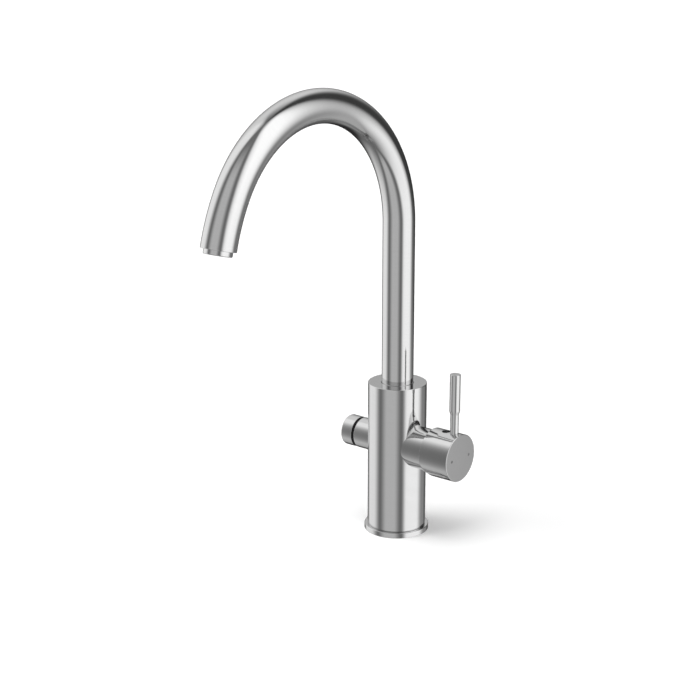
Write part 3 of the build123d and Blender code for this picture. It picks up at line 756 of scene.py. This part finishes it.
makeHandleCap()
makeIndexDot("indexDotFront", -cap["dotSpread"], "hot_index_dot")
makeIndexDot("indexDotBack", cap["dotSpread"], "cold_index_dot")
makeLeverPin()
print("handle done")


# Filter knob and the rubber ring behind it
knob = {
    "back": 40.3 * mm,
    "end": 51.9 * mm,
    "radius": 13.3 * mm,
    "rounding": 1.3 * mm,
    "roundingSteps": 7,
    "backRounding": 0.3 * mm,
    "mouthRounding": 0.2 * mm,
    "wall": 1.5 * mm,
    "cavity": 3.2 * mm,
    "hubRadius": 5.5 * mm,
    "hubRounding": 0.3 * mm,
    "hubRecess": 0.4 * mm,
    "squareAcross": 4.64 * mm,
    "spindleEnd": 46.6 * mm,
    "spindleRadius": 3.1 * mm,
    "spindleRoundEnd": 39.6 * mm,
    "screwReach": 44.6 * mm,
    "screwRadius": 2.02 * mm,
    "around": 180,
}
gripRing = {
    "start": 37.52 * mm,
    "end": 40.08 * mm,
    "inner": 11.42 * mm,
    "outer": 12.9 * mm,
    "rounding": 0.5 * mm,
    "around": 120,
}


def makeFilterKnob():
    size = knob
    cavityEnd = size["back"] + size["cavity"]
    hubBack = size["back"] + size["hubRecess"]
    outline = roundedOutline([
        (hubBack, 0),
        (hubBack, size["hubRadius"], size["hubRounding"]),
        (cavityEnd, size["hubRadius"]),
        (cavityEnd, size["radius"] - size["wall"]),
        (size["back"], size["radius"] - size["wall"], size["mouthRounding"]),
        (size["back"], size["radius"], size["backRounding"]),
        (size["end"], size["radius"], size["rounding"]),
        (size["end"], 0),
    ], size["roundingSteps"])
    drum = turnedPiece("filterKnob", outline, filterSide, size["around"])
    squareStart, squareEnd = (-size["back"] + overcut, 0, sideHeight), (-size["spindleEnd"], 0, sideHeight)
    cutAway(drum, [
        squareBar(squareStart, squareEnd, size["squareAcross"]),
        bar((0, 0, sideHeight), (-size["spindleRoundEnd"], 0, sideHeight), size["spindleRadius"]),
        bar((-size["screwReach"], 0, 0), (-size["screwReach"], 0, sideHeight), size["screwRadius"]),
    ])
    return finishPiece(drum, "filter_turn", brushedSteel, ["filter_knob"])


def makeGripRing():
    size = gripRing
    outline = roundedOutline([
        (size["start"], size["inner"]),
        (size["start"], size["outer"], size["rounding"]),
        (size["end"], size["outer"], size["rounding"]),
        (size["end"], size["inner"]),
    ])
    ring = turnedPiece("gripRing", outline, filterSide, size["around"])
    return finishPiece(ring, "tap_body", slotMaterials["black_rubber"], ["grip_ring"])


makeFilterKnob()
makeGripRing()
print("filter knob done")


# Fixing under the worktop: threaded shank, washers and nut
shank = {
    "bottom": -55 * mm,
    "flangeBottom": 4.5 * mm,
    "flangeTop": 10 * mm,
    "flangeRadius": 22.48 * mm,
    "radius": 16.5 * mm,
    "bore": 13.5 * mm,
    "threadTop": -1.5 * mm,
    "pitch": 1.5 * mm,
    "threadDepth": 0.75 * mm,
    "rootWidening": 1.3,
    "runOutPitches": 3,
    "chamfer": 0.8 * mm,
    "stepsPerPitch": 6,
    "around": 120,
}


def finishUnderTop(piece, slot, node):
    # the worktop hides these from the metal above it
    piece.visible_glossy = False
    return finishPiece(piece, "tap_body", slotMaterials[slot], [node])


def makeShank():
    # the outline is stepped finely along the thread, then each point of it is set in or out along a helix
    size = shank
    step = size["pitch"] / size["stepsPerPitch"]
    outline = [(size["flangeTop"], size["bore"]), (size["bottom"] + size["chamfer"], size["bore"])]
    outline.append((size["bottom"], size["bore"] + size["chamfer"]))
    outline.append((size["bottom"], size["radius"] - size["chamfer"]))
    along = size["bottom"] + step
    while along < size["threadTop"]:
        outline.append((along, size["radius"]))
        along += step
    outline += [(size["flangeBottom"], size["radius"]), (size["flangeBottom"], size["flangeRadius"])]
    outline.append((size["flangeTop"], size["flangeRadius"]))
    piece = turnedPiece("threadedShank", outline, upright, size["around"])
    runOut = size["runOutPitches"] * size["pitch"]
    for vert in piece.data.vertices:
        radius = vert.co.xy.length
        if radius < size["radius"] - tiny or vert.co.z > size["threadTop"]:
            continue
        phase = (vert.co.z / size["pitch"] - atan2(vert.co.y, vert.co.x) / (2 * pi)) % 1
        ridge = abs(2 * phase - 1)
        fade = min(1, (size["threadTop"] - vert.co.z) / runOut)
        lead = max(0, size["bottom"] + size["chamfer"] - vert.co.z)
        inward = min(1, ridge * size["rootWidening"]) * size["threadDepth"] * fade
        vert.co.xy *= (size["radius"] - max(inward, lead)) / radius
    return finishUnderTop(piece, "brass", "mounting_shank")


washers = {"bore": 16.7 * mm, "rubberRounding": 0.5 * mm, "steelRounding": 0.2 * mm, "around": 140}


def makeWasher(name, node, slot, rounding):
    low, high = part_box(node)
    inner = washers["bore"]
    outline = roundedOutline([
        (low.z, inner, rounding),
        (low.z, high.x, rounding),
        (high.z, high.x, rounding),
        (high.z, inner, rounding),
    ])
    washer = turnedPiece(name, outline, upright, washers["around"])
    return finishUnderTop(washer, slot, node)


nutSize = {
    "bore": 16.52 * mm,
    "boreRounding": 0.3 * mm,
    "cornerSlope": radians(30),
    "cornerDrop": 0.2 * mm,
    "faceShare": 0.97,  # of the distance to the flats
    "cornerShare": 1.01,  # of the distance to the corners
    "around": 144,
}


def makeShankNut():
    # a hexagon with its corners turned off
    size = nutSize
    low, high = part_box("shank_nut")
    flats = min(high.x, high.y)
    corner = max(high.x, high.y)
    drop = (corner - flats) * tan(size["cornerSlope"]) + size["cornerDrop"]
    turning = [
        (low.z, size["bore"], size["boreRounding"]),
        (low.z, flats * size["faceShare"]),
        (low.z + drop, corner * size["cornerShare"]),
        (high.z - drop, corner * size["cornerShare"]),
        (high.z, flats * size["faceShare"]),
        (high.z, size["bore"], size["boreRounding"]),
    ]
    nut = turnedPiece("shankNut", roundedOutline(turning), upright, size["around"])
    build = bmesh.new()
    firstCorner = pi / 6 if high.y > high.x else 0
    hexagon = []
    for side in range(6):
        angle = firstCorner + side * pi / 3
        hexagon.append(build.verts.new((corner * cos(angle), corner * sin(angle), low.z - overcut)))
    lowest = build.faces.new(hexagon)
    risen = bmesh.ops.extrude_face_region(build, geom=[lowest])["geom"]
    lifted = [part for part in risen if isinstance(part, bmesh.types.BMVert)]
    bmesh.ops.translate(build, verts=lifted, vec=(0, 0, high.z - low.z + 2 * overcut))
    bmesh.ops.recalc_face_normals(build, faces=build.faces)
    mesh = bpy.data.meshes.new("hexagon")
    build.to_mesh(mesh)
    build.free()
    prism = bpy.data.objects.new("hexagon", mesh)
    scene.collection.objects.link(prism)
    cutAway(nut, [prism], "INTERSECT")
    return finishUnderTop(nut, "brass", "shank_nut")


makeShank()
makeWasher("rubberWasher", "deck_rubber_washer", "black_rubber", washers["rubberRounding"])
makeWasher("steelWasher", "deck_steel_washer", "plain_steel", washers["steelRounding"])
makeShankNut()
print("fixing done")


# Studio: a white backdrop, with grey cards that only mirrored rays meet
view = {
    "azimuth": 39.1971,
    "elevation": 16.3218,
    "place": (767.641 * mm, -1005.187 * mm, 530.300 * mm),
    "lens": 80.24,
    "sensor": 36,
}
studio = {"base": 0.2, "plain": 0.33, "white": 1.0}
# Each card runs between two azimuths, in degrees round from -Y towards +X, and two elevations.
# Each of these four ends has its own soft width, and a later card covers the ones before it.
cards = {
    "backWall": {
        "azimuth": (190, 258), "azimuthSoft": (44, 30),
        "elevation": (18, 67), "elevationSoft": (50, 38), "glow": 0.9,
    },
    "fillBox": {
        "azimuth": (-106, -48), "azimuthSoft": (30, 34),
        "elevation": (-48, 80), "elevationSoft": (90, 28), "glow": 1.16,
    },
    "frontWall": {
        "azimuth": (-17, 40), "azimuthSoft": (30, 26),
        "elevation": (-88, 62), "elevationSoft": (40, 36), "glow": 0.64,
    },
    "keyBox": {
        "azimuth": (67, 140), "azimuthSoft": (22, 34),
        "elevation": (-58, 79), "elevationSoft": (66, 24), "glow": 1.25,
    },
    "keyCore": {
        "azimuth": (84, 126), "azimuthSoft": (20, 20),
        "elevation": (-5, 74), "elevationSoft": (60, 20), "glow": 1.55,
    },
    "rightFloor": {
        "azimuth": (140, 178), "azimuthSoft": (14, 14),
        "elevation": (-90, -26), "elevationSoft": (40, 50), "glow": 0.55,
    },
    "darkFlag": {
        "azimuth": (148, 185), "azimuthSoft": (14, 38),
        "elevation": (-12, 88), "elevationSoft": (14, 20), "glow": 0.06,
    },
    "darkLow": {
        "azimuth": (174, 210), "azimuthSoft": (14, 34),
        "elevation": (-19, 7), "elevationSoft": (12, 24), "glow": 0.04,
    },
    "rearFloor": {
        "azimuth": (180, 212), "azimuthSoft": (14, 12),
        "elevation": (-78, -40), "elevationSoft": (14, 16), "glow": 0.32,
    },
    "underneath": {
        "azimuth": (-200, 200), "azimuthSoft": (10, 10),
        "elevation": (-120, -78), "elevationSoft": (10, 24), "glow": 0.2,
    },
    "backFloor": {
        "azimuth": (176, 240), "azimuthSoft": (12, 20),
        "elevation": (-44, -20), "elevationSoft": (20, 14), "glow": 0.13,
    },
    "backLine": {
        "azimuth": (213, 238), "azimuthSoft": (16, 16),
        "elevation": (-56, 2), "elevationSoft": (24, 16), "glow": 0.03,
    },
}


def towards(azimuth, elevation):
    # the direction from the tap to a viewer or a lamp
    turn, tilt = radians(azimuth), radians(elevation)
    return Vector((sin(turn) * cos(tilt), -cos(turn) * cos(tilt), sin(tilt)))


def makeCamera():
    data = bpy.data.cameras.new("photoCamera")
    data.lens = view["lens"]
    data.sensor_width = view["sensor"]
    camera = bpy.data.objects.new("photoCamera", data)
    back = towards(view["azimuth"], view["elevation"])
    camera.location = view["place"]
    camera.rotation_euler = (-back).to_track_quat("-Z", "Y").to_euler()
    scene.collection.objects.link(camera)
    scene.camera = camera


def softStep(tree, value, start, end):
    # 0 before start, 1 past end, smooth between them
    node = addNode(tree, "ShaderNodeMapRange", interpolation_type="SMOOTHSTEP")
    tree.links.new(value, node.inputs["Value"])
    node.inputs["From Min"].default_value = start
    node.inputs["From Max"].default_value = end
    return node.outputs["Result"]


def cardBand(tree, angle, ends, softWidths):
    # 1 between two angles in degrees, falling to 0 over their soft edges
    start, end = ends
    startSoft, endSoft = softWidths
    rise = softStep(tree, angle, radians(start - startSoft / 2), radians(start + startSoft / 2))
    fall = softStep(tree, angle, radians(end + endSoft / 2), radians(end - endSoft / 2))
    return mathNode(tree, "MULTIPLY", rise, fall)


def blend(tree, factor, under, over):
    left = mathNode(tree, "MULTIPLY", mathNode(tree, "SUBTRACT", 1.0, factor), under)
    return mathNode(tree, "MULTIPLY_ADD", factor, over, left)


def makeWorld():
    world = bpy.data.worlds.new("studio")
    scene.world = world
    world.use_nodes = True
    tree = world.node_tree
    tree.nodes.clear()
    direction = addNode(tree, "ShaderNodeTexCoord").outputs["Generated"]
    parts = addNode(tree, "ShaderNodeSeparateXYZ")
    tree.links.new(direction, parts.inputs[0])
    forward = mathNode(tree, "MULTIPLY", parts.outputs["Y"], -1.0)
    azimuth = mathNode(tree, "ARCTAN2", parts.outputs["X"], forward)
    elevation = mathNode(tree, "ARCSINE", parts.outputs["Z"])
    glow = None
    for card in cards.values():
        first, last = card["azimuth"]
        half = (last - first) / 2
        fromMiddle = mathNode(tree, "SUBTRACT", azimuth, radians(first + half))
        fromMiddle = mathNode(tree, "WRAP", fromMiddle, pi, -pi)
        sideways = cardBand(tree, fromMiddle, (-half, half), card["azimuthSoft"])
        upwards = cardBand(tree, elevation, card["elevation"], card["elevationSoft"])
        cover = mathNode(tree, "MULTIPLY", sideways, upwards)
        under = studio["base"] if glow is None else glow
        glow = blend(tree, cover, under, card["glow"])
    cardLight = addNode(tree, "ShaderNodeBackground")
    tree.links.new(glow, cardLight.inputs["Strength"])
    plainLight = addNode(tree, "ShaderNodeBackground")
    plainLight.inputs["Strength"].default_value = studio["plain"]
    whiteLight = addNode(tree, "ShaderNodeBackground")
    whiteLight.inputs["Strength"].default_value = studio["white"]
    for light in (cardLight, plainLight, whiteLight):
        light.inputs["Color"].default_value = (1, 1, 1, 1)
    path = addNode(tree, "ShaderNodeLightPath")
    mirrored = mathNode(tree, "MAXIMUM", path.outputs["Is Glossy Ray"], path.outputs["Is Transmission Ray"])
    first = addNode(tree, "ShaderNodeMixShader")
    tree.links.new(mirrored, first.inputs[0])
    tree.links.new(plainLight.outputs[0], first.inputs[1])
    tree.links.new(cardLight.outputs[0], first.inputs[2])
    second = addNode(tree, "ShaderNodeMixShader")
    tree.links.new(path.outputs["Is Camera Ray"], second.inputs[0])
    tree.links.new(first.outputs[0], second.inputs[1])
    tree.links.new(whiteLight.outputs[0], second.inputs[2])
    output = addNode(tree, "ShaderNodeOutputWorld")
    tree.links.new(second.outputs[0], output.inputs[0])


# Soft light from above and a low one from the left, which the metal does not mirror
lamps = {
    "highLamp": {"azimuth": 0, "elevation": 75, "spread": 50, "power": 1.8},
    "lowLamp": {"azimuth": -41, "elevation": 15, "spread": 50, "power": 2.4},
}


def makeLamp(name, size):
    data = bpy.data.lights.new(name, "SUN")
    data.angle = radians(size["spread"])
    data.energy = size["power"]
    light = bpy.data.objects.new(name, data)
    light.location = towards(size["azimuth"], size["elevation"])
    light.rotation_euler = light.location.to_track_quat("Z", "Y").to_euler()
    light.visible_glossy = False
    scene.collection.objects.link(light)


floorFinish = {"dark": 0.965, "pale": 0.975, "cloudScale": 3, "roughness": 0.8, "lift": 0.1, "halfSize": 12}


def makeFloor():
    half = floorFinish["halfSize"]
    mesh = bpy.data.meshes.new("floor")
    corners = [(-half, -half, 0), (half, -half, 0), (half, half, 0), (-half, half, 0)]
    mesh.from_pydata(corners, [], [(0, 1, 2, 3)])
    floor = bpy.data.objects.new("floor", mesh)
    scene.collection.objects.link(floor)
    material, tree, shader = newMaterial("whiteFloor", (1, 1, 1), floorFinish["roughness"])
    place = addNode(tree, "ShaderNodeTexCoord").outputs["Object"]
    clouds = stretchedNoise(tree, place, (floorFinish["cloudScale"],) * 3, 2)
    dark, pale = [(floorFinish[tone],) * 3 for tone in ("dark", "pale")]
    tree.links.new(tint(tree, clouds, dark, pale), shader.inputs["Base Color"])
    shader.inputs["Specular IOR Level"].default_value = 0.0
    # a little of the white backdrop's own brightness, for the camera only
    seen = addNode(tree, "ShaderNodeLightPath").outputs["Is Camera Ray"]
    shader.inputs["Emission Color"].default_value = (1, 1, 1, 1)
    tree.links.new(mathNode(tree, "MULTIPLY", seen, floorFinish["lift"]), shader.inputs["Emission Strength"])
    mesh.materials.append(material)
    floor.visible_glossy = False


makeCamera()
makeWorld()
for lampName, lampSize in lamps.items():
    makeLamp(lampName, lampSize)
makeFloor()
scene.view_settings.view_transform = "Standard"
print("studio done")
